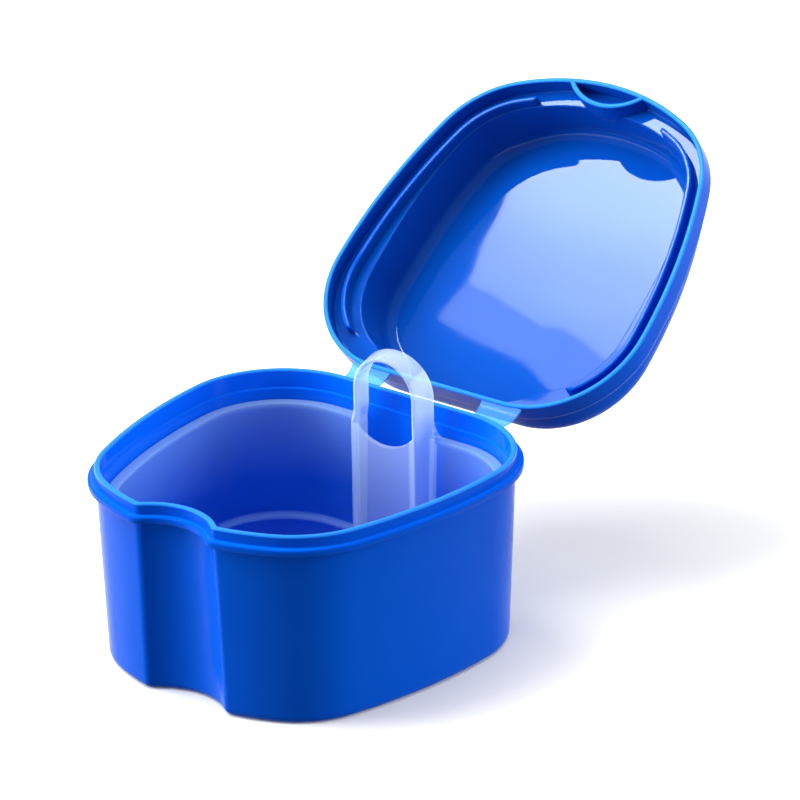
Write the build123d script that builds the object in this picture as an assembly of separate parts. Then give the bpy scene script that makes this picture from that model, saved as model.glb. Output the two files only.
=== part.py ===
"""Denture case: a cup with a thumb notch, a domed lid on two film straps, and a strainer basket.

Millimetres, +Z up. The origin is the centre of the flat underside of the cup. The thumb notch
faces -Y and the hinge is at +Y. The lid stands open by lid_open_angle from its closed place.
"""
import os
from math import atan, cos, degrees, radians, sin, tan

from build123d import *

# Plan of the case, measured at the outside of the cup's lip
lip_length = 80.7
lip_width = 82.1
nose_radius = 54.0
nose_turn = 24.8
front_corner_radius = 22.5
rear_corner_radius = 23.3

# Thumb notch down the front
notch_radius = 13.8
notch_depth = 5.3
notch_corner_radius = 2.0
notch_inner_radius = 1.0

# Cup
cup_height = 44.0
lip_exposed = 2.5
lip_thickness = 1.3
ledge_thickness = 1.7
ledge_overhang = 1.5
ledge_edge_radius = 0.5
wall_inset = 0.3
wall_thickness = 1.6
wall_draft = 2.3
floor_thickness = 2.0
base_edge_radius = 1.8
cup_inner_radius = 2.0

# Lid
lid_wall = 1.2
skirt_thickness = 1.1
skirt_depth = 4.0
skirt_edge_radius = 1.0
dome_inset = 2.6
dome_rear_shift = 2.2
dome_rear_radius = 25.0
dome_draft = 0.6
dome_headroom = 1.7
dome_edge_radius = 5.4
rib_thickness = 1.2
rib_height = 2.4
rib_inset = 2.4
rib_nose_gap = 17.2
rib_rear_margin = 7.4
scallop_height = 6.0
scallop_fade = 1.9

# Hinge straps
lid_open_angle = 142.0
hinge_setback = 4.0
hinge_drop = 0.74
strap_thickness = 0.5
strap_width = 10.4
strap_spacing = 35.8
strap_bend_radius = 6.0
strap_drop = 1.0

# Strainer basket
basket_rim_drop = 6.5
basket_rim_width = 1.5
basket_rim_thickness = 1.3
basket_rim_edge_radius = 0.4
basket_wall = 1.1
basket_floor = 1.2
basket_floor_height = 5.8
basket_floor_radius = 4.0
basket_corner_radius = 6.0
foot_diameter = 6.0
foot_pitches = 5  # an odd number, so that the feet stand between the drain holes
drain_diameter = 3.6
drain_pitch = 7.2
drain_margin = 5.5

# Handle of the basket
handle_width = 16.8
handle_flare = 1.6
handle_strip = 0.9
handle_rear_strip = 2.0
handle_front_depth = 4.0
handle_rear_inset = 1.05
handle_rise = 17.5
handle_crown = 0.7
handle_roundness = 0.96
handle_root_radius = 3.5
handle_edge_radius = 1.1
handle_step = 0.45
handle_step_height = 2.0
handle_panel = 1.1
grip_hole_dip = 2.8
grip_hole_sag = 3.7

# Clearances
lid_seat_gap = 0.3
lid_side_gap = 0.2
basket_side_gap = 0.5
strap_end_gap = 0.15

# Levels
ledge_top = cup_height - lip_exposed
ledge_bottom = ledge_top - ledge_thickness
rim_plane = ledge_top + lid_seat_gap
strap_level = ledge_top - strap_drop
land_level = rim_plane + skirt_depth
basket_rim_top = cup_height - basket_rim_drop
basket_rim_bottom = basket_rim_top - basket_rim_thickness
basket_floor_top = basket_floor_height + basket_floor
handle_top = basket_rim_top + handle_rise
handle_bottom = basket_rim_top + handle_step_height
dome_inside_top = handle_top + dome_headroom
dome_top = dome_inside_top + lid_wall

notch_center_y = notch_depth - notch_radius - lip_length / 2

# Offsets from the outside of the lip
wall_outer = -wall_inset
wall_inner = wall_outer - wall_thickness
basket_rim_outer = wall_inner - basket_side_gap
basket_outer = basket_rim_outer - basket_rim_width
basket_inner = basket_outer - basket_wall
dome_outer = -dome_inset
dome_inner = dome_outer - lid_wall
skirt_inner = lid_side_gap
skirt_outer = skirt_inner + skirt_thickness

# Hinge axis, parallel to X
hinge_y = lip_length / 2 + ledge_overhang + hinge_setback
hinge_z = ledge_top - hinge_drop
hinge_axis = Axis((0, hinge_y, hinge_z), (1, 0, 0))

# Front and rear of the finger loop
handle_front = lip_length / 2 + basket_inner - handle_front_depth
handle_rear = lip_length / 2 + basket_rim_outer - handle_rear_inset

on_bottom = (Align.CENTER, Align.CENTER, Align.MIN)


def arc_plan(offset, rear_radius, rear_shift):
    """A chain of tangent arcs, grown by offset: nose, front corner, flank, rear corner, back.

    The flank's radius and its turn follow from the length and the width.
    """
    radius_step = nose_radius - front_corner_radius
    side_run = lip_width / 2 - radius_step * sin(radians(nose_turn)) - front_corner_radius
    long_run = (lip_length + rear_shift - rear_radius - nose_radius
                + radius_step * cos(radians(nose_turn)))
    flank_turn = degrees(2 * atan(side_run / long_run))
    flank_radius = front_corner_radius + long_run / sin(radians(flank_turn))
    nose = JernArc((0, -lip_length / 2 - offset), (1, 0), nose_radius + offset, nose_turn)
    corner = JernArc(nose @ 1, nose % 1, front_corner_radius + offset,
                     90 - flank_turn - nose_turn)
    flank = JernArc(corner @ 1, corner % 1, flank_radius + offset, flank_turn)
    rear = JernArc(flank @ 1, (0, 1), rear_radius + offset, 90)
    back = Line(rear @ 1, (0, (rear @ 1).Y))
    half = Curve() + [nose, corner, flank, rear, back]
    return make_face(half + mirror(half, about=Plane.YZ))


def plan(offset):
    """The case's plan grown by offset, without the thumb notch."""
    return arc_plan(offset, rear_corner_radius, 0)


def notched(offset, corner_radius):
    """The case's plan grown by offset, with the thumb notch and its rounded corners."""
    face = plan(offset) - Pos(0, notch_center_y) * Circle(notch_radius - offset)
    reach = [v for v in face.vertices() if abs(v.X) > 0.1]
    corners = sorted(reach, key=lambda v: v.Y)[:2]
    return fillet(corners, corner_radius)


def prism(face, bottom, top):
    """A straight prism of the plan between two levels."""
    return extrude(Pos(0, 0, bottom) * face, top - bottom)


def drafted(offset, top, bottom, corner_radius):
    """A notched block with the wall's draft, so that it narrows downwards."""
    shrink = (top - bottom) * tan(radians(wall_draft))
    upper = Pos(0, 0, top) * notched(offset, corner_radius)
    lower = Pos(0, 0, bottom) * notched(offset - shrink, corner_radius)
    return loft([lower, upper], ruled=True)


def level_edges(shape, level):
    """Edges that lie flat at one level."""
    return shape.edges().filter_by(lambda e: abs(e.bounding_box().min.Z - level) < 1e-3
                                   and abs(e.bounding_box().max.Z - level) < 1e-3)


def make_cup():
    body = drafted(wall_outer, ledge_bottom, 0, notch_corner_radius)
    body = fillet(level_edges(body, 0), base_edge_radius)
    ledge = prism(notched(ledge_overhang, notch_corner_radius + ledge_overhang),
                  ledge_bottom, ledge_top)
    ledge = fillet(level_edges(ledge, ledge_bottom) + level_edges(ledge, ledge_top),
                   ledge_edge_radius)
    lip = prism(notched(0, notch_corner_radius), ledge_bottom, cup_height)
    mouth = prism(notched(-lip_thickness, notch_inner_radius), ledge_bottom, cup_height)
    cavity = drafted(wall_inner, ledge_bottom, floor_thickness, notch_inner_radius)
    cavity = fillet(level_edges(cavity, floor_thickness), cup_inner_radius)
    cup = body + ledge + lip - mouth - cavity
    return cup


def dome_block(offset, bottom, top, edge_radius):
    """A block of the lid's dome, which reaches back over the handle, with its rounded edge."""
    shrink = (top - bottom) * tan(radians(dome_draft))
    lower = Pos(0, 0, bottom) * arc_plan(offset, dome_rear_radius, dome_rear_shift)
    upper = Pos(0, 0, top) * arc_plan(offset - shrink, dome_rear_radius, dome_rear_shift)
    block = loft([lower, upper], ruled=True)
    return fillet(level_edges(block, top), edge_radius)


def scallop(radius, bottom):
    """The thumb's hollow over the notch, a cone that fades out up the front of the dome."""
    cone = Cone(radius, radius - scallop_fade, scallop_height, align=on_bottom)
    return Pos(0, notch_center_y, bottom) * cone


def make_plug_ribs(top):
    """The pair of ribs along the flanks that reach down inside the cup's lip."""
    ring = plan(-rib_inset) - plan(-rib_inset - rib_thickness)
    span = lip_length - rib_rear_margin
    keep = Pos(0, -rib_rear_margin / 2) * Rectangle(lip_width, span)
    keep -= Rectangle(2 * rib_nose_gap, lip_length)
    return prism(ring & keep, top - rib_height, top)


def make_lid():
    """The lid in its closed place."""
    shoulder = land_level + lid_wall
    skirt = prism(plan(skirt_outer), rim_plane, shoulder)
    skirt = fillet(level_edges(skirt, shoulder), skirt_edge_radius)
    dome = dome_block(dome_outer, shoulder - lid_wall / 2, dome_top, dome_edge_radius)
    dome -= scallop(notch_radius - ledge_overhang, shoulder)
    socket = prism(plan(skirt_inner), rim_plane, land_level)
    hollow = dome_block(dome_inner, land_level, dome_inside_top, dome_edge_radius - lid_wall)
    hollow -= scallop(notch_radius - ledge_overhang + lid_wall, land_level)
    lid = skirt + dome - socket - hollow
    crescent = (Circle(notch_radius - lid_side_gap)
                - Circle(notch_radius - lid_side_gap - skirt_thickness))
    crescent = (Pos(0, notch_center_y) * crescent) & plan(skirt_inner)
    lid += prism(crescent, rim_plane, land_level)
    return lid + make_plug_ribs(land_level)


def make_strap(side, cup):
    """One film strap, from the cup's ledge to the rim of the open lid."""
    turn = 180 - lid_open_angle
    root = Vector(0, hinge_y - hinge_setback - ledge_overhang, strap_level)
    rim = Vertex(0, hinge_y - hinge_setback, rim_plane + strap_thickness / 2)
    tip = Vector(*rim.rotate(hinge_axis, -lid_open_angle).center())
    rise = Vector(0, cos(radians(turn)), sin(radians(turn)))
    run = (tip.Z - root.Z) / rise.Z
    path = FilletPolyline(root, tip - rise * run, tip + rise * ledge_overhang,
                          radius=strap_bend_radius)
    section = Plane(root, x_dir=(1, 0, 0), z_dir=(0, 1, 0))
    section = section * Rectangle(strap_width, strap_thickness)
    strap = Pos(side * strap_spacing / 2, 0, 0) * sweep(section, path)
    lid_edge = prism(plan(skirt_outer + strap_end_gap), rim_plane - strap_end_gap, land_level)
    return strap - cup - lid_edge.rotate(hinge_axis, -lid_open_angle)


def wall_y(level):
    """Where the inside of the basket's rear wall is at a level."""
    return (lip_length / 2 + basket_inner
            - (basket_rim_top - level) * tan(radians(wall_draft)))


def side_prism(points, width):
    """A prism across the case, from its outline seen from the side."""
    outline = make_face(Polyline(*[(0, y, z) for y, z in points], close=True))
    return extrude(outline, width / 2, dir=(1, 0, 0), both=True)


def front_prism(face, front, rear):
    """A prism from front to rear, from its outline seen from the front."""
    return extrude(Plane.XZ.offset(-rear) * face, rear - front)


def doorway(half_width, bottom, top, y):
    """The handle's outline with its round arch, standing at one depth."""
    door = Pos(0, (bottom + top) / 2) * Rectangle(2 * half_width, top - bottom)
    upper = door.vertices().group_by(Axis.Y)[-1]
    return Plane.XZ.offset(-y) * fillet(upper, handle_roundness * half_width)


def flared_block(halves, tops, bottom, front, rear):
    """A block that widens from the handle's front to its rear, cut or carried on at both ends."""
    ends = []
    for y in (front, rear):
        share = (y - handle_front) / (handle_rear - handle_front)
        half_width = halves[0] + share * (halves[1] - halves[0])
        ends.append(doorway(half_width, bottom, tops[0] + share * (tops[1] - tops[0]), y))
    return loft(ends, ruled=True)


def slab(bottom, top):
    """Everything between two levels."""
    return Pos(0, 0, bottom) * Box(lip_width, lip_length, top - bottom, align=on_bottom)


def make_handle(bowl):
    """The hollow box up the basket's rear wall that ends in the finger loop."""
    halves = (handle_width / 2, handle_width / 2 + handle_flare)
    tops = (handle_top, handle_top + handle_crown)
    loop = flared_block(halves, tops, basket_rim_top, handle_front, handle_rear)
    crest = loop.edges().filter_by(lambda e: e.bounding_box().min.Y > handle_rear - 0.01
                                   and e.bounding_box().max.Z > basket_rim_top + 0.01)
    loop = fillet(crest, handle_edge_radius)
    halves = (halves[0] + handle_step, halves[1])
    channel = flared_block(halves, tops, basket_floor_height,
                           handle_front - handle_step, handle_rear)
    handle = channel & slab(basket_floor_height, basket_rim_bottom) & bowl
    handle += channel & slab(basket_rim_bottom, handle_bottom)
    handle += loop
    for side in (-1, 1):
        near = side * handle_width / 2
        far = side * (halves[1] + handle_root_radius)
        centre = Pos((near + far) / 2, basket_rim_top + handle_root_radius / 2)
        root = centre * Rectangle(abs(far - near), handle_root_radius)
        root -= Pos(far, basket_rim_top + handle_root_radius) * Circle(handle_root_radius)
        handle += front_prism(root, wall_y(basket_rim_top), handle_rear)
    return handle


def handle_cuts():
    """The finger hole of the handle and the channel behind its front panel."""
    halves = (handle_width / 2 - handle_strip,
              handle_width / 2 + handle_flare - handle_rear_strip)
    tops = (handle_top - handle_strip, handle_top - handle_strip)
    reach = 2 * handle_front_depth
    hole = flared_block(halves, tops, handle_bottom, handle_front - reach, handle_rear + reach)
    halves = (halves[0] + handle_step, halves[1] + handle_step)
    channel = flared_block(halves, tops, basket_floor_top, handle_front - reach,
                           handle_rear + reach)
    panel_rear = handle_front - handle_step + handle_panel
    low = basket_floor_top + basket_floor_radius
    behind = side_prism([(panel_rear, low), (handle_rear + reach, low),
                         (handle_rear + reach, handle_bottom), (panel_rear, handle_bottom)],
                        lip_width)
    lowest = basket_rim_top - grip_hole_dip
    brim = lowest + grip_hole_sag
    near, far = halves[0], halves[0] + handle_panel
    outline = ThreePointArc((-near, brim), (0, lowest), (near, brim))
    outline += Polyline((near, brim), (far, brim), (far, handle_bottom),
                        (-far, handle_bottom), (-far, brim), (-near, brim))
    over_panel = front_prism(make_face(outline), handle_front - reach, panel_rear + handle_panel)
    return [hole, channel & behind, channel & over_panel]


def make_drain_holes():
    """The holes through the basket's floor."""
    shrink = (basket_rim_top - basket_floor_top) * tan(radians(wall_draft))
    field = notched(basket_inner - shrink - drain_margin, notch_corner_radius)
    across = int(lip_width / drain_pitch) | 1
    along = int(lip_length / drain_pitch) | 1
    holes = []
    for spot in GridLocations(drain_pitch, drain_pitch, across, along):
        if field.faces()[0].is_inside(spot.position):
            holes.append(spot * Circle(drain_diameter / 2))
    return prism(Sketch() + holes, basket_floor_height - basket_floor, basket_floor_top + basket_floor)


def make_basket():
    bowl = drafted(basket_outer, basket_rim_top, basket_floor_height, basket_corner_radius)
    bowl = fillet(level_edges(bowl, basket_floor_height), basket_floor_radius + basket_floor)
    rim = prism(notched(basket_rim_outer, basket_corner_radius), basket_rim_bottom, basket_rim_top)
    rim = fillet(level_edges(rim, basket_rim_top), basket_rim_edge_radius)
    hollow = drafted(basket_inner, basket_rim_top, basket_floor_top,
                     basket_corner_radius - basket_wall)
    hollow = fillet(level_edges(hollow, basket_floor_top), basket_floor_radius)
    basket = bowl + rim - hollow + make_handle(bowl)
    for cut in handle_cuts():
        basket -= cut
    basket -= make_drain_holes()
    foot_height = basket_floor_height + basket_floor / 2 - floor_thickness
    foot = Cylinder(foot_diameter / 2, foot_height, align=on_bottom)
    foot_spacing = foot_pitches * drain_pitch
    for spot in GridLocations(foot_spacing, foot_spacing, 2, 2):
        basket += spot * Pos(0, 0, floor_thickness) * foot
    return basket


def solids_report(name, shape):
    box = shape.bounding_box()
    print(name, len(shape.solids()), round(shape.volume / 1000, 2), "cm3", box.min, box.max)


os.makedirs("parts", exist_ok=True)
cup = make_cup()
nodes = {
    "cup": cup,
    "lid": make_lid().rotate(hinge_axis, -lid_open_angle),
    "hinge_strap_left": make_strap(-1, cup),
    "hinge_strap_right": make_strap(1, cup),
    "strainer_basket": make_basket(),
}
for name, shape in nodes.items():
    solids_report(name, shape)
    export_step(shape, f"parts/{name}.step")
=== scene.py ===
from math import atan2, cos, exp, log, pi, radians, sin, tan

import bmesh
import bpy
from mathutils import Matrix, Vector


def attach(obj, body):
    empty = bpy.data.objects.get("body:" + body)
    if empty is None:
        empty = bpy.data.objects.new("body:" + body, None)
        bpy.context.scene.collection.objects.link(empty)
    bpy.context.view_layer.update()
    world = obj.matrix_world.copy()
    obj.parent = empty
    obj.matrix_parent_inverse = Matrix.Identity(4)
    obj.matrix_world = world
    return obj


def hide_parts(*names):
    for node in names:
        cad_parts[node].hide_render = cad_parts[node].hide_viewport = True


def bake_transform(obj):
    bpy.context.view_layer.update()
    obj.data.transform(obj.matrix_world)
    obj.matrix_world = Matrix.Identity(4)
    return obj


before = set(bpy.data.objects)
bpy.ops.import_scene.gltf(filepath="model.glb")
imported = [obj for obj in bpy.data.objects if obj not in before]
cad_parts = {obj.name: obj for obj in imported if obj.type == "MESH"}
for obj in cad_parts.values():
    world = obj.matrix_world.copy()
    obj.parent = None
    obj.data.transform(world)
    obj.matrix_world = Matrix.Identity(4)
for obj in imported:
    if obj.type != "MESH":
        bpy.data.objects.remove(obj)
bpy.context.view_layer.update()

millimetre = 0.001  # meshes are drawn in millimetres and scaled once, when they are done
close = 1e-4  # vertices nearer than this are one
scene = bpy.context.scene

# angles in degrees, lengths in millimetres
view = {
    "azimuth": 38.1, "elevation": 23.15, "roll": -0.86,
    "distance": 1147.49, "right": 22.98, "up": 28.58, "aimHeight": 25.0,
    "lens": 241.3, "sensor": 36.0, "clip": (0.05, 20),
}


def placeCamera(v):
    a, e = radians(v["azimuth"]), radians(v["elevation"])
    back = Vector((sin(a) * cos(e), -cos(a) * cos(e), sin(e)))
    right = Vector((cos(a), sin(a), 0))
    up = back.cross(right)
    spot = Vector((0, 0, v["aimHeight"])) + right * v["right"] + up * v["up"] + back * v["distance"]
    camera = bpy.data.cameras.new("camera")
    camera.lens, camera.sensor_width = v["lens"], v["sensor"]
    camera.clip_start, camera.clip_end = v["clip"]
    holder = bpy.data.objects.new("camera", camera)
    turned = Matrix((right, up, back)).transposed() @ Matrix.Rotation(radians(v["roll"]), 3, "Z")
    holder.matrix_world = Matrix.Translation(spot * millimetre) @ turned.to_4x4()
    scene.collection.objects.link(holder)
    scene.camera = holder


placeCamera(view)
print("camera in place")

# plan of the case: a chain of arcs that run into each other, mirrored across the middle
plan = {
    "length": 80.7, "width": 82.1,
    "noseRadius": 54.0, "noseTurn": radians(24.8),
    "cornerRadius": 22.5, "rearRadius": 23.3,
    "notchRadius": 13.8, "notchCentre": -48.85,
}
arcSteps = {
    "notch": 14, "notchCorner": 7, "nose": 12, "corner": 20, "flank": 16, "rear": 22, "back": 10,
}
domeArcs = {"rearRadius": 25.0, "rearShift": 2.2}


def sweep(bm, start, centre, turn, steps, shift=(0, 0, 0)):
    # one vertex drawn along an arc, or along a line when shift is given
    spun = bmesh.ops.spin(bm, geom=[start], cent=(centre[0], centre[1], start.co.z), axis=(0, 0, 1),
                          dvec=shift, angle=turn, steps=steps, use_duplicate=False)
    return next(g for g in spun["geom_last"] if isinstance(g, bmesh.types.BMVert))


def ring(bm, offset, level, notchCorner=None, rearRadius=None, rearShift=0.0):
    # closed outline of the case grown by offset, as edges
    rearRadius = rearRadius or plan["rearRadius"]
    known = set(bm.edges)
    step = plan["noseRadius"] - plan["cornerRadius"]
    side = plan["width"] / 2 - step * sin(plan["noseTurn"]) - plan["cornerRadius"]
    run = (plan["length"] + rearShift - rearRadius - plan["noseRadius"]
           + step * cos(plan["noseTurn"]))
    flankTurn = 2 * atan2(side, run)
    flankRadius = plan["cornerRadius"] + run / sin(flankTurn)
    nose = Vector((0, plan["noseRadius"] - plan["length"] / 2))
    corner = nose + Vector((sin(plan["noseTurn"]), -cos(plan["noseTurn"]))) * step
    cornerEnd = pi / 2 - flankTurn
    towardsFlank = Vector((sin(cornerEnd), -cos(cornerEnd)))
    flank = corner - towardsFlank * (flankRadius - plan["cornerRadius"])
    rear = Vector((plan["width"] / 2 - rearRadius, plan["length"] / 2 + rearShift - rearRadius))
    noseTurn = plan["noseTurn"]
    if notchCorner:
        notch = Vector((0, plan["notchCentre"]))
        toNose = plan["noseRadius"] + offset - notchCorner
        toNotch = plan["notchRadius"] - offset + notchCorner
        apart = nose.y - notch.y
        y = notch.y + (toNotch ** 2 - toNose ** 2 + apart ** 2) / (2 * apart)
        pivot = Vector(((toNotch ** 2 - (y - notch.y) ** 2) ** 0.5, y))
        start = bm.verts.new((0, notch.y + toNotch - notchCorner, level))
        notchTurn = atan2(pivot.x, pivot.y - notch.y)
        tip = sweep(bm, start, notch, -notchTurn, arcSteps["notch"])
        noseStart = atan2(pivot.x, nose.y - pivot.y)
        tip = sweep(bm, tip, pivot, notchTurn + noseStart, arcSteps["notchCorner"])
        noseTurn -= noseStart
    else:
        start = tip = bm.verts.new((0, nose.y - plan["noseRadius"] - offset, level))
    tip = sweep(bm, tip, nose, noseTurn, arcSteps["nose"])
    tip = sweep(bm, tip, corner, cornerEnd - plan["noseTurn"], arcSteps["corner"])
    tip = sweep(bm, tip, flank, flankTurn, arcSteps["flank"])
    tip = sweep(bm, tip, rear, pi / 2, arcSteps["rear"])
    tip = sweep(bm, tip, (0, 0), 0, arcSteps["back"], (-tip.co.x / arcSteps["back"], 0, 0))
    half = [e for e in bm.edges if e not in known]
    verts = list(dict.fromkeys(v for e in half for v in e.verts))
    bmesh.ops.mirror(bm, geom=half + verts, merge_dist=close, axis="X")
    return [e for e in bm.edges if e not in known]


def bend(offset, level, radius, start, end, count):
    # points of a rounded edge in the wall's section; angles run from outwards towards up
    share = [i / count for i in range(count + 1)]
    return [(offset + radius * cos(radians(start + (end - start) * s)),
             level + radius * sin(radians(start + (end - start) * s))) for s in share]


def onRing(settings, points):
    # rows of a wall's section that share one outline
    return [(offset, level, settings) for offset, level in points]


def wallSolid(section, loop=False):
    # a closed wall from rings; each row of the section is offset, level and the ring's settings
    bm = bmesh.new()
    spacing = 2.0  # the rings are bridged one above another, then each is moved to its level
    rings = [ring(bm, offset, i * spacing, **settings)
             for i, (offset, level, settings) in enumerate(section)]
    points = [list(dict.fromkeys(v for e in edges for v in e.verts)) for edges in rings]
    for lower, upper in zip(rings, rings[1:]):
        bmesh.ops.bridge_loops(bm, edges=lower + upper)
    if loop:
        bmesh.ops.bridge_loops(bm, edges=rings[-1] + rings[0])
    else:
        for end in (rings[0], rings[-1]):
            bmesh.ops.contextual_create(bm, geom=end)
    for i, (_, level, _) in enumerate(section):
        bmesh.ops.translate(bm, verts=points[i], vec=(0, 0, level - i * spacing))
    return bm, points


def vertsOf(geometry):
    return [g for g in geometry if isinstance(g, bmesh.types.BMVert)]


def facesOf(geometry):
    return [g for g in geometry if isinstance(g, bmesh.types.BMFace)]


def roundEdges(bm, edges, width, segments, **how):
    bmesh.ops.bevel(bm, geom=edges, offset=width, segments=segments, profile=0.5,
                    affect="EDGES", material=-1, **how)


def addTo(bm, part):
    # joins a second closed form to the first
    mesh = bpy.data.meshes.new("part")
    part.to_mesh(mesh)
    part.free()
    bm.from_mesh(mesh)
    bpy.data.meshes.remove(mesh)


def polishInsideWithPaintedLight(bm, mouth):
    # faces that look back at the middle of the mouth get the polished finish, with painted light:
    # its blue is lighter inside the cup and darker inside the lid
    for face in bm.faces:
        if face.normal.dot(face.calc_center_median() - mouth) < 0:
            face.material_index = 1


def paintEdgeLight(bm, low, high):
    # painted light: the thin edges get a paler copy of the blue, standing in for light through them
    # and for their highlights
    for face in bm.faces:
        if low < face.calc_center_median().z < high:
            face.material_index = 2


def asObject(bm, name, materials=(), sharpAngle=None):
    mesh = bpy.data.meshes.new(name)
    bm.to_mesh(mesh)
    bm.free()
    if sharpAngle:
        mesh.shade_smooth()
        mesh.set_sharp_from_angle(angle=radians(sharpAngle))
    for material in materials:
        mesh.materials.append(material)
    piece = bpy.data.objects.new(name, mesh)
    scene.collection.objects.link(piece)
    return piece


def dress(bm, name, body, materials, node, turn=None):
    # a finished piece that moves with its body and takes a solid's place
    if turn:
        bmesh.ops.transform(bm, matrix=turn, verts=bm.verts)
    bmesh.ops.scale(bm, vec=(millimetre,) * 3, verts=bm.verts)
    piece = asObject(bm, name, materials, sharpAngle=35)
    piece.modifiers.new("evenShading", "WEIGHTED_NORMAL").keep_sharp = True
    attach(piece, body)
    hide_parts(node)
    return piece


def newMaterial(name):
    material = bpy.data.materials.new(name)
    material.use_nodes = True
    return material, material.node_tree, material.node_tree.nodes["Principled BSDF"]


def wire(nodeTree, node, inputs):
    # each input takes a value, or the output of another node
    for key, value in inputs.items():
        if isinstance(value, bpy.types.NodeSocket):
            nodeTree.links.new(value, node.inputs[key])
        else:
            node.inputs[key].default_value = value


def addNode(nodeTree, kind, inputs=None, **settings):
    node = nodeTree.nodes.new("ShaderNode" + kind)
    for name, value in settings.items():
        setattr(node, name, value)
    wire(nodeTree, node, inputs or {})
    return node


def calculate(nodeTree, operation, *values):
    node = addNode(nodeTree, "Math", dict(enumerate(values)), operation=operation)
    return node.outputs["Value"]


def remap(nodeTree, value, toLow, toHigh, low=0, high=1):
    return addNode(nodeTree, "MapRange", {
        "Value": value, "From Min": low, "From Max": high, "To Min": toLow, "To Max": toHigh,
    }).outputs["Result"]


# blue plastic: its colour drifts between deep and light, its roughness between two values
bluePlastic = {
    "ior": 1.5, "glow": 0.12, "glowRadius": (0.2, 0.5, 1.0), "glowDepth": 0.0015,
    "cloudScale": 30, "waveScale": 32, "grainScale": 900, "grainDepth": 0.00002,
}
outerFinish = dict(
    bluePlastic, deep=(0.0006, 0.058, 0.47, 1), light=(0.0010, 0.078, 0.54, 1),
    roughness=(0.18, 0.25), specular=0.05, specularTint=(0.03, 0.50, 1.0, 1),
    wave=0.0, grain=0.08,
)
# painted light: a paler, glossier copy of the outside blue for the thin edges
paintedEdgeLightFinish = dict(
    outerFinish, deep=(0.010, 0.15, 0.66, 1), light=(0.020, 0.19, 0.78, 1), specular=0.25,
)
polish = dict(
    bluePlastic, roughness=(0.015, 0.03), specular=0.22, specularTint=(0.78, 0.98, 1.0, 1),
    wave=0.00018, grain=0.03,
)
# painted shade: the lid's inside is a darker copy of the blue
paintedShadeLidFinish = dict(polish, deep=(0.0005, 0.050, 0.34, 1), light=(0.0008, 0.066, 0.41, 1))
# painted light: the cup's inside is a lighter copy of the blue, standing in for glow through the
# wall
paintedGlowCupFinish = dict(polish, deep=(0.0006, 0.095, 0.66, 1), light=(0.0010, 0.125, 0.76, 1))


def makeCaseFinish(name, c):
    material, nodeTree, shader = newMaterial(name)
    where = addNode(nodeTree, "TexCoord").outputs["Object"]

    def noise(scale, **detail):
        node = addNode(nodeTree, "TexNoise", {"Vector": where, "Scale": scale, **detail})
        return node.outputs["Fac"]

    cloud = noise(c["cloudScale"], Detail=2)
    shades = {"A": c["deep"], "B": c["light"], "Factor": cloud}
    tint = addNode(nodeTree, "Mix", shades, data_type="RGBA")
    # slow waves from moulding, and a fine grain over them
    slow = addNode(nodeTree, "Bump", {
        "Distance": c["wave"], "Height": noise(c["waveScale"], Detail=0.5),
    })
    fine = addNode(nodeTree, "Bump", {
        "Strength": c["grain"], "Distance": c["grainDepth"], "Height": noise(c["grainScale"]),
        "Normal": slow.outputs["Normal"],
    })
    wire(nodeTree, shader, {
        "Base Color": tint.outputs["Result"],
        "Roughness": remap(nodeTree, cloud, *c["roughness"]),
        "Normal": fine.outputs["Normal"],
        "IOR": c["ior"],
        "Specular IOR Level": c["specular"],
        "Specular Tint": c["specularTint"],
        "Subsurface Weight": c["glow"],
        "Subsurface Radius": c["glowRadius"],
        "Subsurface Scale": c["glowDepth"],
    })
    return material


casePlastic = makeCaseFinish("casePlastic", outerFinish)
caseEdgePaintedLight = makeCaseFinish("caseEdgePaintedLight", paintedEdgeLightFinish)
lidInsidePaintedShade = makeCaseFinish("lidInsidePaintedShade", paintedShadeLidFinish)
cupInsidePaintedGlow = makeCaseFinish("cupInsidePaintedGlow", paintedGlowCupFinish)

# see-through plastics: milk is how much light they scatter. It grows with height, in metres,
# and on the loop's legs, which start so far from the middle; line is a painted highlight, a pale
# band of milk along the floor's fillet
clearPlastic = {
    "specular": 0.2, "cloudScale": 60, "shinePower": 4, "highlightLineWidth": (0.0004, 0.0009),
    "legBlend": 0.0003, "line": None, "legs": None,
}
basketFinish = dict(
    clearPlastic, color=(0.38, 0.62, 0.90, 1), clear=(0.93, 0.97, 1.0, 1),
    roughness=0.35, gloss=0.12, shine=(0.002, 0.4), milk=(0.0, 0.02),
    heights=(0.020, 0.0366, 0.0370), atHeights=(0.0, 0.14, 0.24), line=(0.0108, 0.35),
)
handleFinish = dict(
    basketFinish, color=(0.72, 0.86, 0.96, 1), milk=(0.0, 0.05),
    heights=(0.004, 0.036, 0.056), atHeights=(0.10, 0.18, 0.24), legs=(0.0072, 0.22), line=None,
)
filmFinish = dict(
    clearPlastic, color=(0.10, 0.42, 0.90, 1), clear=(0.40, 0.72, 1.0, 1),
    roughness=0.4, gloss=0.15, shine=(0.01, 0.3), milk=(0.0, 0.12),
    heights=(0.0, 0.03, 0.06), atHeights=(0.3, 0.3, 0.3),
)


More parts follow.
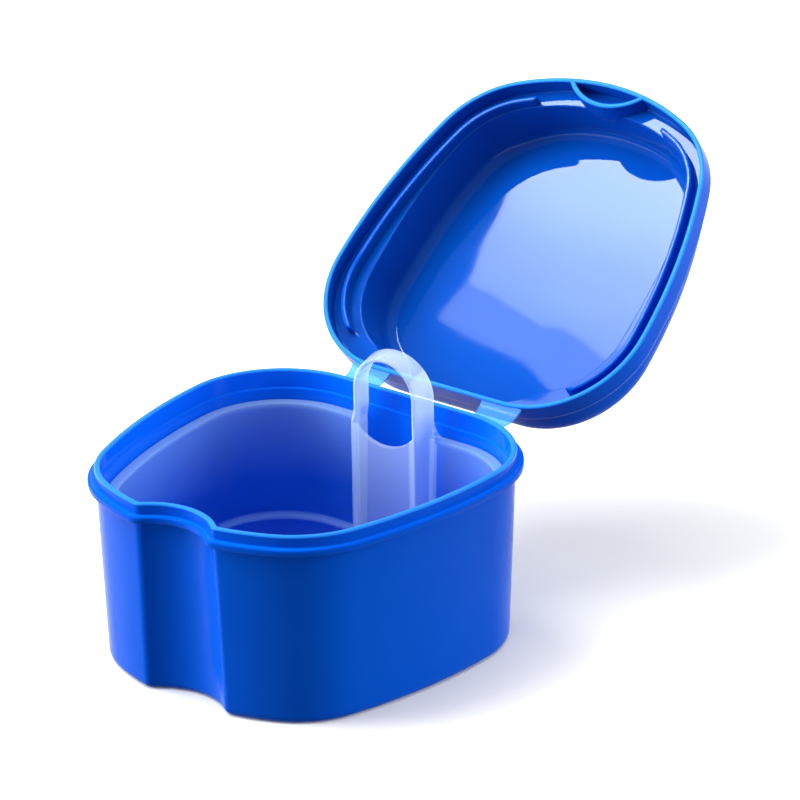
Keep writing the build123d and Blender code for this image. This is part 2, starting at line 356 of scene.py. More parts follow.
def makeClearFinish(name, c):
    # some of the light is scattered, the rest goes through
    material, nodeTree, shader = newMaterial(name)
    wire(nodeTree, shader, {
        "Base Color": c["color"], "Roughness": c["roughness"], "Specular IOR Level": c["specular"],
    })
    where = addNode(nodeTree, "TexCoord").outputs["Object"]
    place = addNode(nodeTree, "SeparateXYZ", {"Vector": where}).outputs
    cloud = addNode(nodeTree, "TexNoise", {"Vector": where, "Scale": c["cloudScale"]})
    bottom, middle, top = c["heights"]
    atBottom, atMiddle, atTop = c["atHeights"]
    milk = remap(nodeTree, cloud.outputs["Fac"], *c["milk"])
    more = [remap(nodeTree, place["Z"], atBottom, atMiddle, bottom, middle),
            remap(nodeTree, place["Z"], 0, atTop - atMiddle, middle, top)]
    # painted highlight: a thin band of extra milk along the floor's fillet
    if c["line"]:
        level, amount = c["line"]
        apart = calculate(nodeTree, "ABSOLUTE", calculate(nodeTree, "SUBTRACT", place["Z"], level))
        more.append(remap(nodeTree, apart, amount, 0, *c["highlightLineWidth"]))
    if c["legs"]:
        start, amount = c["legs"]
        aside = calculate(nodeTree, "ABSOLUTE", place["X"])
        more.append(remap(nodeTree, aside, 0, amount, start - c["legBlend"], start + c["legBlend"]))
    for share in more:
        milk = calculate(nodeTree, "ADD", milk, share)
    clear = addNode(nodeTree, "BsdfTransparent", {"Color": c["clear"]})
    body = addNode(nodeTree, "MixShader", {
        0: milk, 1: clear.outputs["BSDF"], 2: shader.outputs["BSDF"],
    })
    # gloss that grows where the surface turns away
    gloss = addNode(nodeTree, "BsdfGlossy", {"Roughness": c["gloss"]})
    facing = addNode(nodeTree, "LayerWeight").outputs["Facing"]
    turned = calculate(nodeTree, "POWER", facing, c["shinePower"])
    skin = addNode(nodeTree, "MixShader", {
        0: remap(nodeTree, turned, *c["shine"]),
        1: body.outputs["Shader"],
        2: gloss.outputs["BSDF"],
    })
    wire(nodeTree, nodeTree.nodes["Material Output"], {"Surface": skin.outputs["Shader"]})
    return material


milkyPlastic = makeClearFinish("milkyPlastic", basketFinish)
milkyHandle = makeClearFinish("milkyHandle", handleFinish)
filmPlastic = makeClearFinish("filmPlastic", filmFinish)
print("finishes ready")

# levels above the table, and offsets outwards from the lip's outline
cupSizes = {
    "height": 44.0, "lip": 1.3, "lipEdge": 0.45,
    "ledge": 1.5, "ledgeTop": 41.5, "ledgeBottom": 39.8, "ledgeEdge": 0.5, "stepEdge": 0.2,
    "wallOuter": -0.3, "wallInner": -1.9, "draft": radians(2.3), "wallRows": (10, 20, 30),
    "floor": 2.0, "baseEdge": 1.8, "underEdge": 0.3, "innerEdge": 2.0,
    "outerCorner": 2.0, "innerCorner": 1.0,
}


def makeCup(c):
    outer, inner = {"notchCorner": c["outerCorner"]}, {"notchCorner": c["innerCorner"]}
    ledge = {"notchCorner": c["outerCorner"] + c["ledge"]}
    base, under, step = c["baseEdge"], c["underEdge"], c["stepEdge"]
    edge, soft, curve = c["ledgeEdge"], c["lipEdge"], c["innerEdge"]
    top, low = c["height"] - soft, c["floor"] + curve

    def lean(offset, z):
        return offset - (c["ledgeBottom"] - z) * tan(c["draft"])

    # up the outside from the foot, over the ledge and the lip, and down the inside
    rows = onRing(outer, bend(lean(c["wallOuter"], base) - base, base, base, -90, 0, 7))
    rows += onRing(outer, [(lean(c["wallOuter"], z), z) for z in c["wallRows"]])
    rows += onRing(outer, bend(c["wallOuter"] + under, c["ledgeBottom"] - under, under, 180, 90, 3))
    rows += onRing(ledge, bend(c["ledge"] - edge, c["ledgeBottom"] + edge, edge, -90, 0, 4))
    rows += onRing(ledge, bend(c["ledge"] - edge, c["ledgeTop"] - edge, edge, 0, 90, 4))
    rows += onRing(outer, bend(under, c["ledgeTop"] + under, under, -90, -180, 3))
    rows += onRing(outer, bend(-soft, top, soft, 0, 90, 4))
    rows += onRing(inner, bend(soft - c["lip"], top, soft, 90, 180, 4))
    rows += onRing(inner, bend(-c["lip"] - step, c["ledgeBottom"] + step, step, 0, -90, 2))
    rows += onRing(inner, bend(c["wallInner"] + step, c["ledgeBottom"] - step, step, 90, 180, 2))
    rows += onRing(inner, [(lean(c["wallInner"], z), z) for z in reversed(c["wallRows"])])
    rows += onRing(inner, bend(lean(c["wallInner"], low) - curve, low, curve, 0, -90, 6))
    bm = wallSolid(rows)[0]
    bmesh.ops.recalc_face_normals(bm, faces=bm.faces)
    polishInsideWithPaintedLight(bm, Vector((0, 0, c["height"])))
    paintEdgeLight(bm, c["height"] - soft, c["height"] + 1)
    return dress(bm, "cupShell", "cup_body", (casePlastic, cupInsidePaintedGlow, caseEdgePaintedLight), "cup")


cup = makeCup(cupSizes)
print("cup made", len(cup.data.polygons))

# the lid is drawn shut and then swung open about the hinge
hinge = Vector((0, 45.85, 40.76))
lidSizes = {
    "rim": 41.8, "rimEdge": 0.3, "wall": 1.2,
    "skirtInner": 0.2, "skirt": 1.1, "skirtDepth": 4.0, "skirtTopEdge": 0.4, "shoulderEdge": 1.0,
    "dome": -2.6, "draft": radians(0.6),
    "top": 57.9, "domeEdge": 5.4, "domeFootEdge": 0.4, "insideEdge": 2.4,
    "outerRows": (51.5, 50.5, 49.5, 48.5), "innerRows": (47.2, 48.3, 49.4, 50.5, 51.5),
    "scallop": 12.3, "scallopFade": 1.9, "scallopHeight": 6.0, "angle": radians(142),
}


def pushOut(verts, radius, blend=0.25):
    # moves the nose of the dome out of the thumb's hollow
    far = 20  # beyond this the curve and the straight line are one
    for v in verts:
        out = Vector((v.co.x, v.co.y - plan["notchCentre"]))
        past = (out.length - radius) / blend
        if past < far:
            out *= (radius + blend * log(1 + exp(past))) / out.length
            v.co.x, v.co.y = out.x, out.y + plan["notchCentre"]


def smooth(low, high, value):
    share = min(1, max(0, (value - low) / (high - low)))
    return share * share * (3 - 2 * share)


sideLean = {"across": (14, 26), "along": (-25, 25), "foot": 3.2, "top": 1.8}


def leanIn(verts, rise, c):
    # inside of the dome: its side walls lean in, more so towards the hinge
    for v in verts:
        side = smooth(*c["across"], abs(v.co.x))
        amount = side * (c["foot"] * smooth(*c["along"], v.co.y) + c["top"] * rise)
        out = Vector((v.co.x, v.co.y))
        out *= 1 - amount / out.length
        v.co.x, v.co.y = out


def makeLid(c):
    lip = {}
    land = c["rim"] + c["skirtDepth"]
    shoulder = land + c["wall"]
    skirtOuter = c["skirtInner"] + c["skirt"]
    inside, fade = c["dome"] - c["wall"], c["scallopFade"] / c["scallopHeight"]
    edge, foot, fold, soft = c["domeEdge"], c["domeFootEdge"], c["skirtTopEdge"], c["rimEdge"]
    high, brow = c["top"] - edge, c["shoulderEdge"]
    ceiling, within = c["top"] - c["wall"], c["insideEdge"]
    brink = ceiling - within

    def lean(offset, z):
        return offset - (z - shoulder) * tan(c["draft"])

    # down the dome's outside, round the skirt, and up the inside
    outside = onRing(domeArcs, bend(lean(c["dome"], high) - edge, high, edge, 90, 0, 12))
    outside += onRing(domeArcs, [(lean(c["dome"], z), z) for z in c["outerRows"]])
    outside += onRing(domeArcs, bend(c["dome"] + foot, shoulder + foot, foot, 180, 270, 3))
    skirt = onRing(lip, bend(skirtOuter - brow, shoulder - brow, brow, 90, 0, 5))
    skirt += onRing(lip, bend(skirtOuter - soft, c["rim"] + soft, soft, 0, -90, 3))
    skirt += onRing(lip, bend(c["skirtInner"] + soft, c["rim"] + soft, soft, -90, -180, 3))
    skirt += onRing(lip, bend(c["skirtInner"] - fold, land - fold, fold, 0, 90, 3))
    hollow = onRing(domeArcs, bend(inside + soft, land + soft, soft, -90, -180, 3))
    hollow += onRing(domeArcs, [(lean(inside, z), z) for z in c["innerRows"]])
    hollow += onRing(domeArcs, bend(lean(inside, brink) - within, brink, within, 0, 90, 8))
    bm, points = wallSolid(outside + skirt + hollow)
    for (_, level, _), verts in zip(outside, points):
        pushOut(verts, c["scallop"] - fade * (level - shoulder))
    for (_, level, _), verts in zip(hollow, points[-len(hollow):]):
        pushOut(verts, c["scallop"] + c["wall"] - fade * (level - land))
        leanIn(verts, (level - land) / (ceiling - land), sideLean)
    bmesh.ops.recalc_face_normals(bm, faces=bm.faces)
    addTo(bm, makeRibs(ribSizes, land))
    addTo(bm, makeCrescent(crescentSizes, c["rim"], land))
    turned = Matrix.Rotation(-c["angle"], 4, "X")
    swing = Matrix.Translation(hinge) @ turned @ Matrix.Translation(-hinge)
    polishInsideWithPaintedLight(bm, Vector((0, 0, c["rim"])))
    paintEdgeLight(bm, c["rim"] - 1, c["rim"] + soft)
    finishes = (casePlastic, lidInsidePaintedShade, caseEdgePaintedLight)
    return dress(bm, "lidShell", "lid_body", finishes, "lid", turn=swing)


ribSizes = {
    "outer": -2.4, "thickness": 1.2, "height": 2.4, "edge": 0.35, "root": 0.5,
    "noseGap": 17.2, "rear": 33.0,
}


def makeRibs(r, land):
    # pair of ribs that reach down inside the cup's lip
    inner, tip, edge = r["outer"] - r["thickness"], land - r["height"], r["edge"]
    section = [(r["outer"], land + r["root"])]
    section += bend(r["outer"] - edge, tip + edge, edge, 0, -90, 3)
    section += bend(inner + edge, tip + edge, edge, -90, -180, 3)
    section += [(inner, land + r["root"])]
    bm = wallSolid(onRing({}, section), loop=True)[0]
    for spot, normal in (((r["noseGap"], 0, 0), (-1, 0, 0)), ((0, r["rear"], 0), (0, 1, 0))):
        everything = [*bm.verts, *bm.edges, *bm.faces]
        bmesh.ops.bisect_plane(bm, geom=everything, plane_co=spot, plane_no=normal,
                               clear_outer=True)
        rims = [e for e in bm.edges if e.is_boundary]
        caps = bmesh.ops.holes_fill(bm, edges=rims, sides=0)["faces"]
        ends = [e for f in caps for e in f.edges if min(v.co.z for v in e.verts) < land]
        roundEdges(bm, ends, edge, 3)
    bmesh.ops.mirror(bm, geom=[*bm.verts, *bm.edges, *bm.faces], merge_dist=close, axis="X")
    bmesh.ops.recalc_face_normals(bm, faces=bm.faces)
    return bm


crescentSizes = {
    "radius": 13.6, "thickness": 1.1, "edge": 0.3, "root": 0.5, "reach": radians(48.6), "steps": 36,
}


def makeCrescent(c, rim, land):
    # curved rib that closes the lid's edge over the thumb notch
    bm = bmesh.new()
    outer, inner, edge = c["radius"], c["radius"] - c["thickness"], c["edge"]
    section = [(outer, land + c["root"]), *bend(outer - edge, rim + edge, edge, 0, -90, 3),
               *bend(inner + edge, rim + edge, edge, -90, -180, 3), (inner, land + c["root"])]
    verts = [bm.verts.new((0, plan["notchCentre"] + y, z)) for y, z in section]
    end = bm.faces.new(verts)
    centre = (0, plan["notchCentre"], 0)
    bmesh.ops.rotate(bm, verts=verts, cent=centre, matrix=Matrix.Rotation(-c["reach"], 3, "Z"))
    bmesh.ops.spin(bm, geom=[end, *end.edges, *verts], cent=centre, axis=(0, 0, 1),
                   angle=2 * c["reach"], steps=c["steps"], use_duplicate=False)
    bmesh.ops.recalc_face_normals(bm, faces=bm.faces)
    return bm


lid = makeLid(lidSizes)
print("lid made", len(lid.data.polygons))

# film straps of the hinge: from the cup's ledge through one bend to the lid's rim
strapSizes = {
    "width": 10.4, "waist": 0.6, "thickness": 0.45, "spacing": 35.8, "bend": 6.0,
    "root": (40.6, 40.5), "setback": 4.0, "level": 42.05, "inset": 0.6,
    "across": 12, "flatSteps": 4, "bendSteps": 10, "riseSteps": 6,
    "blendStart": (0, 0.0424, 0.0405), "blendBack": 0.0003,  # metres
}


def makeStrap(name, side, s, node):
    rising = pi - lidSizes["angle"]
    tip = Vector((0, -s["setback"], s["level"] - hinge.z))
    tip.rotate(Matrix.Rotation(-lidSizes["angle"], 3, "X"))
    tip += hinge
    rise = Vector((0, cos(rising), sin(rising)))
    root = Vector((0, *s["root"]))
    knee = tip - rise * ((tip.z - root.z) / rise.z)
    cut = s["bend"] * tan(rising / 2)
    bm = bmesh.new()
    low = bm.verts.new((-s["width"] / 2, *s["root"]))
    high = bm.verts.new((s["width"] / 2, *s["root"]))
    strip = bm.edges.new((low, high))
    bmesh.ops.subdivide_edges(bm, edges=[strip], cuts=s["across"] - 1)
    tail = [*bm.verts, *bm.edges]

    def draw(geom, **how):
        spun = bmesh.ops.spin(bm, geom=geom, axis=(1, 0, 0), use_duplicate=False, **how)
        return spun["geom_last"]

    flat = (0, (knee.y - cut - root.y) / s["flatSteps"], 0)
    tail = draw(tail, cent=(0, 0, 0), dvec=flat, angle=0, steps=s["flatSteps"])
    centre = (0, knee.y - cut, root.z + s["bend"])
    tail = draw(tail, cent=centre, angle=rising, steps=s["bendSteps"])
    slope = rise * ((tip - knee).length - cut + s["inset"]) / s["riseSteps"]
    draw(tail, cent=(0, 0, 0), dvec=slope, angle=0, steps=s["riseSteps"])
    middle = (root.y + tip.y) / 2
    for v in bm.verts:  # a slight waist
        share = min(1, abs(v.co.y - middle) / ((tip.y - root.y) / 2))
        v.co.x *= 1 - 2 * s["waist"] / s["width"] * (1 - share ** 2)
    bmesh.ops.recalc_face_normals(bm, faces=bm.faces)
    bmesh.ops.solidify(bm, geom=bm.faces[:], thickness=s["thickness"])
    bmesh.ops.translate(bm, verts=bm.verts, vec=(side * s["spacing"] / 2, 0, 0))
    bmesh.ops.recalc_face_normals(bm, faces=bm.faces)
    bmesh.ops.scale(bm, vec=(millimetre,) * 3, verts=bm.verts)
    piece = asObject(bm, name, (filmPlastic,), sharpAngle=40)
    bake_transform(piece)
    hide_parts(node)


makeStrap("filmStrapLeft", -1, strapSizes, "hinge_strap_left")
makeStrap("filmStrapRight", 1, strapSizes, "hinge_strap_right")
print("straps made")

# the basket's bowl, and what is joined to it or cut from it
basketSizes = {
    "rimTop": 37.5, "rimDepth": 1.3, "rimOuter": -2.4, "rimEdge": 0.4, "rimUnderEdge": 0.2,
    "wallOuter": -3.9, "wallInner": -5.0, "draft": radians(2.3),
    "outerRows": (18, 26), "innerRows": (28, 19),
    "bottom": 5.8, "floorTop": 7.0, "floorEdge": 4.0, "outerCorner": 6.0, "innerCorner": 4.9,
}
drainSizes = {"diameter": 3.6, "pitch": 7.2, "reach": 24.3, "sides": 28, "depth": 3}
footSizes = {"diameter": 6.0, "spacing": 36.0, "bottom": 2.0, "top": 6.5, "edge": 0.5, "sides": 32}
loopSizes = {  # pairs are front and rear
    "front": 31.35, "rear": 36.9, "outer": (8.4, 10.0), "inner": (7.5, 8.0), "top": (55.0, 55.7),
    "innerTop": 54.1, "edges": (0.4, 0.8), "steps": 40,
    "flareTop": 41.5, "flareBottom": 38.0, "flare": 0.45, "flareSteps": 5, "foot": 33.0,
}
panelSizes = {
    "front": 30.9, "outer": 8.85, "slope": 0.19, "edge": 0.45, "top": 38.2,
    "foot": 0.6, "toe": 4.2, "heel": (8.2, 1.3),  # where the box runs into the bowl's corner
    "rear": 32.0, "inner": 7.95, "innerSlope": 0.08, "low": 11.0, "past": 3, "over": 0.1,
    "dipBottom": 34.7, "dipTop": 38.4, "dipSteps": 30, "dipPast": (0.6, 2), "dipOver": 0.3,
    "lead": 0.4,
    "handleFrom": 30.4, "handleHalf": 10.4,
}
rootSizes = {
    "radius": 3.5, "front": 35.6, "rear": 36.8, "start": 0.55, "inset": 0.2, "sink": 0.5,
    "steps": 10,
}
reliefSizes = {"half": 10.2, "from": 36.4, "to": 41.0, "bottom": 30.0, "top": 37.6}


def combine(base, how, bm):
    # joins the form to the base or cuts it away
    tool = asObject(bm, "tool")
    join = base.modifiers.new("join", "BOOLEAN")
    join.operation, join.object, join.solver = how, tool, "EXACT"
    finished = base.evaluated_get(bpy.context.evaluated_depsgraph_get())
    result = bpy.data.meshes.new_from_object(finished)
    base.modifiers.remove(join)
    old, base.data = base.data, result
    for mesh in (old, tool.data):
        bpy.data.meshes.remove(mesh)


def makeBowl(c):
    outer, inner = {"notchCorner": c["outerCorner"]}, {"notchCorner": c["innerCorner"]}
    floor, soft, under = c["floorEdge"], c["rimEdge"], c["rimUnderEdge"]
    big, rimLow = floor + c["floorTop"] - c["bottom"], c["rimTop"] - c["rimDepth"]
    low, high = c["bottom"] + big, c["floorTop"] + floor

    def lean(offset, z):
        return offset - (c["rimTop"] - z) * tan(c["draft"])

    rows = onRing(outer, bend(lean(c["wallOuter"], low) - big, low, big, -90, 0, 10))
    rows += onRing(outer, [(lean(c["wallOuter"], z), z) for z in c["outerRows"]])
    neck = lean(c["wallOuter"], rimLow) + soft
    rows += onRing(outer, bend(neck, rimLow - soft, soft, 180, 90, 3))
    rows += onRing(outer, bend(c["rimOuter"] - under, rimLow + under, under, -90, 0, 2))
    rows += onRing(outer, bend(c["rimOuter"] - soft, c["rimTop"] - soft, soft, 0, 90, 4))
    rows += onRing(inner, bend(c["wallInner"] + soft, c["rimTop"] - soft, soft, 90, 180, 4))
    rows += onRing(inner, [(lean(c["wallInner"], z), z) for z in c["innerRows"]])
    rows += onRing(inner, bend(lean(c["wallInner"], high) - floor, high, floor, 0, -90, 8))
    bm = wallSolid(rows)[0]
    bmesh.ops.recalc_face_normals(bm, faces=bm.faces)
    return asObject(bm, "basketShell")


def makeLoop(c):
    # flared finger loop: its section is spun over the top, then drawn down both legs
    bm = bmesh.new()
    front, rear, outer, inner = c["front"], c["rear"], c["outer"], c["inner"]
    halfway = (front + rear) / 2
    section = [(-outer[0], front), (-outer[1], rear), (-inner[1], rear), (-inner[0], front)]
    start = bm.faces.new([bm.verts.new((x, y, 0)) for x, y in section])
    arch = bmesh.ops.spin(bm, geom=[start], cent=(0, 0, 0), axis=(0, 1, 0), angle=pi,
                          steps=c["steps"], use_duplicate=False)
    base = c["top"][0] - outer[0]
    for v in bm.verts:
        share = (v.co.y - front) / (rear - front)
        radius = Vector((v.co.x, v.co.z)).length
        if radius > (sum(outer) + sum(inner)) / 4 + (share - 0.5):
            reach, top = outer, c["top"][0] + share * (c["top"][1] - c["top"][0])
        else:
            reach, top = inner, c["innerTop"]
        v.co.z = base + v.co.z * (top - base) / (reach[0] + share * (reach[1] - reach[0]))
    ends = [start, *facesOf(arch["geom_last"])]
    drop, steps = c["flareBottom"] - c["flareTop"], c["flareSteps"]
    levels = [base - (base - c["flareTop"]) / 2]
    levels += [c["flareTop"] + drop * i / steps for i in range(steps + 1)] + [c["foot"]]
    for level in levels:
        wide = c["flare"] * smooth(0, 1, (c["flareTop"] - level) / -drop)
        grown = []
        for end in ends:
            drawn = bmesh.ops.extrude_face_region(bm, geom=[end])["geom"]
            bmesh.ops.delete(bm, geom=[end], context="FACES_ONLY")
            grown += facesOf(drawn)
            for v in vertsOf(drawn):
                v.co.z = level
                k = 0 if v.co.y < halfway else 1
                outside = abs(v.co.x) > (outer[k] + inner[k]) / 2
                place = (outer if outside else inner)[k] + (0 if outside and k else wide)
                v.co.x = place * (1 if v.co.x > 0 else -1)
                v.co.y = rear if k else front - wide
        ends = grown
    bmesh.ops.recalc_face_normals(bm, faces=bm.faces)
    corners = [e for e in bm.edges if len(e.link_faces) == 2 and e.calc_face_angle() > radians(50)]
    nearEdges = [e for e in corners if all(v.co.y < halfway for v in e.verts)]
    farEdges = [e for e in corners if all(v.co.y > halfway for v in e.verts)]
    caps = {e for end in ends for e in end.edges}
    for edges, width in zip((nearEdges, farEdges), c["edges"]):
        edges = [e for e in edges if e.is_valid and e not in caps]
        roundEdges(bm, edges, width, 4, offset_type="OFFSET", clamp_overlap=True)
    return bm


def makeBlock(profile, half, slope, nearest, segments, c):
    # a profile drawn from side to side, wider towards the back, with rounded front corners
    bm = bmesh.new()
    face = bm.faces.new([bm.verts.new((-half, y, z)) for y, z in profile])
    drawn = bmesh.ops.extrude_face_region(bm, geom=[face])["geom"]
    bmesh.ops.translate(bm, verts=vertsOf(drawn), vec=(2 * half, 0, 0))
    for v in bm.verts:
        v.co.x *= 1 + slope * (v.co.y - c["front"]) / half
    bmesh.ops.recalc_face_normals(bm, faces=bm.faces)
    near = 0.01
    corners = [e for e in bm.edges if all(v.co.y < nearest + near for v in e.verts)
               and abs(e.verts[0].co.x - e.verts[1].co.x) < near]
    roundEdges(bm, corners, c["edge"], segments)
    return bm


def makePanelBox(c, b):
    # box below the loop, before its rear channel is cut
    middle = plan["length"] / 2 + (b["wallOuter"] + b["wallInner"]) / 2

    def wall(z):
        return middle - (b["rimTop"] - z) * tan(b["draft"])

    foot, (heel, heelIn) = b["bottom"] + c["foot"], c["heel"]
    profile = [(c["front"], foot), (middle - c["toe"], foot), (wall(heel) - heelIn, heel),
               (wall(c["low"]), c["low"]), (middle, b["rimTop"] - 1),
               (middle, c["top"]), (c["front"], c["top"])]
    return makeBlock(profile, c["outer"], c["slope"], c["front"], 4, c)


def makeChannel(c, b):
    # what is cut away behind the panel, through the basket's wall
    back, top = b["rimTop"] + c["past"], c["top"] + c["over"]
    profile = [(c["rear"], c["low"]), (back, c["low"]), (back, top), (c["rear"], top)]
    return makeBlock(profile, c["inner"], c["innerSlope"], c["rear"], 3, c)


def makeDip(c):
    # sagging cut through the panel under the finger hole, with a rounded front edge
    bm = bmesh.new()
    half, sag, top = c["inner"], c["dipTop"] - c["dipBottom"], c["top"] + c["dipOver"]
    radius = (half * half + sag * sag) / (2 * sag)
    rear = c["rear"] + c["dipPast"][0]
    first = bm.verts.new((-half, rear, c["dipTop"]))
    bmesh.ops.spin(bm, geom=[first], cent=(0, first.co.y, c["dipBottom"] + radius), axis=(0, -1, 0),
                   angle=2 * atan2(half, radius - sag), steps=c["dipSteps"], use_duplicate=False)
    near = 0.01
    ends = [v for v in bm.verts
            if abs(v.co.z - c["dipTop"]) < near and abs(abs(v.co.x) - half) < near]
    corners = [bm.verts.new((x, rear, top)) for x in (half, -half)]
    bmesh.ops.contextual_create(bm, geom=corners)
    for v in corners:
        bm.edges.new((v, min(ends, key=lambda w: abs(w.co.x - v.co.x))))
    face = bmesh.ops.contextual_create(bm, geom=list(bm.edges))["faces"]
    front, lead = c["front"] + c["lead"], c["lead"]
    depths = [(front, 0)]
    depths += [(front - lead * sin(radians(a)), lead * (1 - cos(radians(a)))) for a in (30, 60, 90)]
    depths += [(c["front"] - c["dipPast"][1], lead)]
    before = 0
    for i, (y, grow) in enumerate(depths):
        drawn = bmesh.ops.extrude_face_region(bm, geom=face)["geom"]
        if i:  # the first face stays as the rear end
            bmesh.ops.delete(bm, geom=face, context="FACES_ONLY")
        face = facesOf(drawn)
        wide = (half + grow) / (half + before)
        for v in vertsOf(drawn):
            v.co.x *= wide
            v.co.z = top + (v.co.z - top) * wide
            v.co.y = y
        before = grow
    bmesh.ops.recalc_face_normals(bm, faces=bm.faces)
    return bm


def makeRoots(c, rim):
    # concave webs between the loop's legs and the rim
    bm = bmesh.new()
    loop = loopSizes
    near, far = loop["outer"][0] + c["start"], loop["outer"][1] + c["radius"] - c["inset"]
    flare = (loop["outer"][1] - loop["outer"][0]) / (loop["rear"] - loop["front"])
    first = bm.verts.new((far, c["front"], rim))
    bmesh.ops.spin(bm, geom=[first], cent=(far, c["front"], rim + c["radius"]), axis=(0, 1, 0),
                   angle=pi / 2, steps=c["steps"], use_duplicate=False)
    high = max(bm.verts, key=lambda v: v.co.z)
    corners = [bm.verts.new((x, c["front"], z))
               for x, z in ((near, high.co.z), (near, rim - c["sink"]), (far, rim - c["sink"]))]
    for a, b in zip([high, *corners], [*corners, first]):
        bm.edges.new((a, b))
    bmesh.ops.contextual_create(bm, geom=list(bm.edges))
    drawn = bmesh.ops.extrude_face_region(bm, geom=list(bm.faces))["geom"]
    bmesh.ops.translate(bm, verts=vertsOf(drawn), vec=(0, c["rear"] - c["front"], 0))
    for v in bm.verts:
        v.co.x -= flare * (c["rear"] - v.co.y)
    bmesh.ops.mirror(bm, geom=[*bm.verts, *bm.edges, *bm.faces], merge_dist=close, axis="X")
    bmesh.ops.recalc_face_normals(bm, faces=bm.faces)
    return bm


def makeRelief(c):
    # the rim stops at the loop's legs instead of running on behind them
    bm = bmesh.new()
    middle = (0, (c["from"] + c["to"]) / 2, (c["bottom"] + c["top"]) / 2)
    size = Matrix.Diagonal((2 * c["half"], c["to"] - c["from"], c["top"] - c["bottom"], 1))
    bmesh.ops.create_cube(bm, size=1, matrix=Matrix.Translation(middle) @ size)
    return bm


def addPin(bm, x, y, low, high, c):
    spot = Matrix.Translation((x, y, (low + high) / 2))
    bmesh.ops.create_cone(bm, cap_ends=True, segments=c["sides"], radius1=c["diameter"] / 2,
                          radius2=c["diameter"] / 2, depth=high - low, matrix=spot)


def makeFeet(c):
    bm = bmesh.new()
    for x in (-1, 1):
        for y in (-1, 1):
            addPin(bm, x * c["spacing"] / 2, y * c["spacing"] / 2, c["bottom"], c["top"], c)
    under = [e for e in bm.edges if all(v.co.z < c["bottom"] + 0.01 for v in e.verts)]
    roundEdges(bm, under, c["edge"], 3)
    return bm


def makeDrains(c, b):
    bm = bmesh.new()
    count, middle = int(c["reach"] / c["pitch"]), (b["bottom"] + b["floorTop"]) / 2
    low, high = middle - c["depth"] / 2, middle + c["depth"] / 2
    for i in range(-count, count + 1):
        for j in range(-count, count + 1):
            addPin(bm, i * c["pitch"], j * c["pitch"], low, high, c)
    return bm


def makeBasket(b):
    basket = makeBowl(b)
    for how, form in (
        ("UNION", makePanelBox(panelSizes, b)),
        ("UNION", makeLoop(loopSizes)),
        ("UNION", makeRoots(rootSizes, b["rimTop"])),
        ("DIFFERENCE", makeChannel(panelSizes, b)),
        ("DIFFERENCE", makeDip(panelSizes)),
        ("DIFFERENCE", makeRelief(reliefSizes)),
        ("UNION", makeFeet(footSizes)),
        ("DIFFERENCE", makeDrains(drainSizes, b)),
    ):
        combine(basket, how, form)
    bm = bmesh.new()
    bm.from_mesh(basket.data)
    bpy.data.objects.remove(basket)
    bmesh.ops.remove_doubles(bm, verts=bm.verts, dist=close)
    for face in bm.faces:  # the panel and the loop are milkier
        middle = face.calc_center_median()
        if middle.y > panelSizes["handleFrom"] and abs(middle.x) < panelSizes["handleHalf"]:
            face.material_index = 1
    finishes = (milkyPlastic, milkyHandle)
    return dress(bm, "basketShell", "basket_body", finishes, "strainer_basket")


basket = makeBasket(basketSizes)
print("basket made", len(basket.data.polygons))

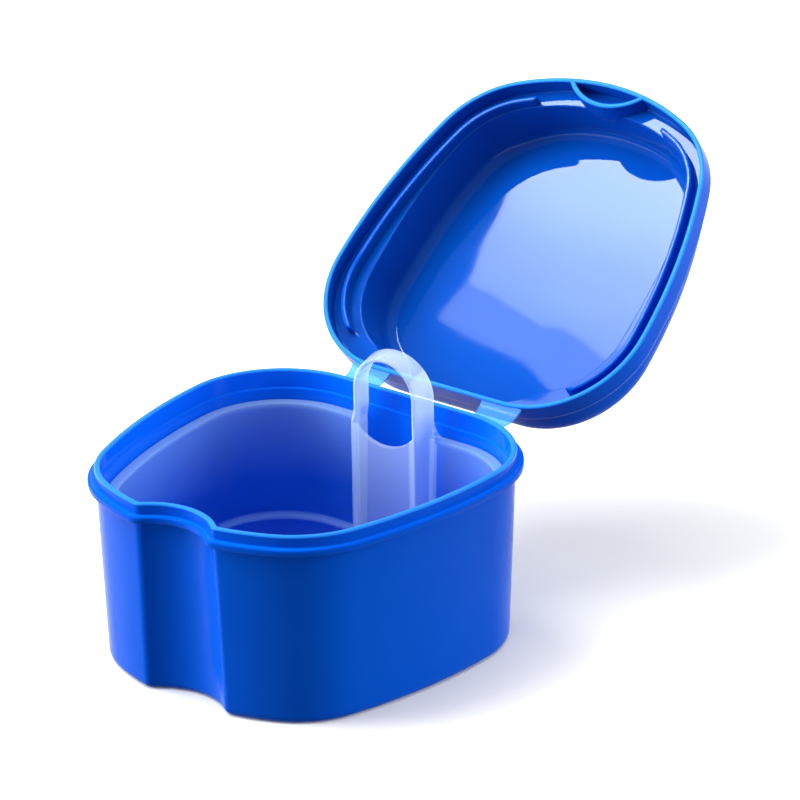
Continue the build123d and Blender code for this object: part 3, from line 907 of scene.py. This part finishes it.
# each lamp: direction from the case, distance, width and height, watts, and whether
# matt and glossy surfaces see it; distances in metres
studio = {
    "floor": 3.0, "floorColor": (0.78, 0.78, 0.78, 1), "floorRoughness": 0.9,
    "sky": 0.38, "skyColor": (1, 1, 1, 1), "aim": (0.01, 0.08, 0.06),
    "lamps": {
        "topSoftbox": ((-0.50, -0.22, 0.84), 1.2, (0.9, 0.9), 17, True, False),
        "overhead": ((-0.05, 0.05, 1.0), 1.3, (1.8, 1.8), 18, True, False),
        "leftSoftbox": ((-0.78, -0.60, 0.22), 1.1, (0.7, 0.7), 20, True, False),
        "rightSoftbox": ((0.87, 0.45, 0.22), 1.1, (0.6, 0.6), 13, True, False),
        "reflector": ((-0.5211, -0.1556, 0.8392), 0.903, (0.133, 0.129), 1.3, False, True),
    },
    "across": (0.800, -0.370, 0.473),
    "dim": {
        "from": (0.15, 0.80), "to": (0.5, 1.3),
        "waves": 4, "sway": 0.22, "line": (0.25, 0.27), "past": 0.55,
    },
}


def dimSide(lamp, c):
    # the lamp dims towards one of its sides, and is dimmer still past a wavy line
    lamp.use_nodes = True
    nodeTree = lamp.node_tree
    place = addNode(nodeTree, "NewGeometry").outputs["Parametric"]
    height = addNode(nodeTree, "SeparateXYZ", {"Vector": place}).outputs["Y"]
    wave = addNode(nodeTree, "TexNoise", {"Vector": place, "Scale": c["waves"], "Detail": 1})
    wavy = calculate(nodeTree, "MULTIPLY_ADD", wave.outputs["Fac"], c["sway"], height)
    strength = calculate(nodeTree, "MULTIPLY", remap(nodeTree, height, *c["to"], *c["from"]),
                         remap(nodeTree, wavy, c["past"], 1, *c["line"]))
    wire(nodeTree, nodeTree.nodes["Emission"], {"Strength": strength})


def makeStudio(s):
    material, nodeTree, shader = newMaterial("paleFloor")
    wire(nodeTree, shader, {"Base Color": s["floorColor"], "Roughness": s["floorRoughness"]})
    bm = bmesh.new()
    bmesh.ops.create_grid(bm, x_segments=1, y_segments=1, size=s["floor"])
    floor = asObject(bm, "floor", (material,))
    floor.visible_diffuse = False
    world = bpy.data.worlds.new("studio")
    scene.world = world
    world.use_nodes = True
    sky = world.node_tree.nodes["Background"]
    wire(world.node_tree, sky, {"Color": s["skyColor"], "Strength": s["sky"]})
    for name, (direction, distance, size, watts, matt, glossy) in s["lamps"].items():
        lamp = bpy.data.lights.new(name, "AREA")
        lamp.shape, lamp.energy = "RECTANGLE", watts
        lamp.size, lamp.size_y = size
        if not matt:
            dimSide(lamp, s["dim"])
        holder = bpy.data.objects.new(name, lamp)
        holder.visible_diffuse, holder.visible_glossy = matt, glossy
        back = Vector(direction).normalized()
        over = back.cross(Vector(s["across"])).normalized()
        turned = Matrix((over.cross(back), over, back)).transposed().to_4x4()
        holder.matrix_world = Matrix.Translation(Vector(s["aim"]) + back * distance) @ turned
        scene.collection.objects.link(holder)
    scene.view_settings.view_transform = "Standard"


makeStudio(studio)
print("studio ready")
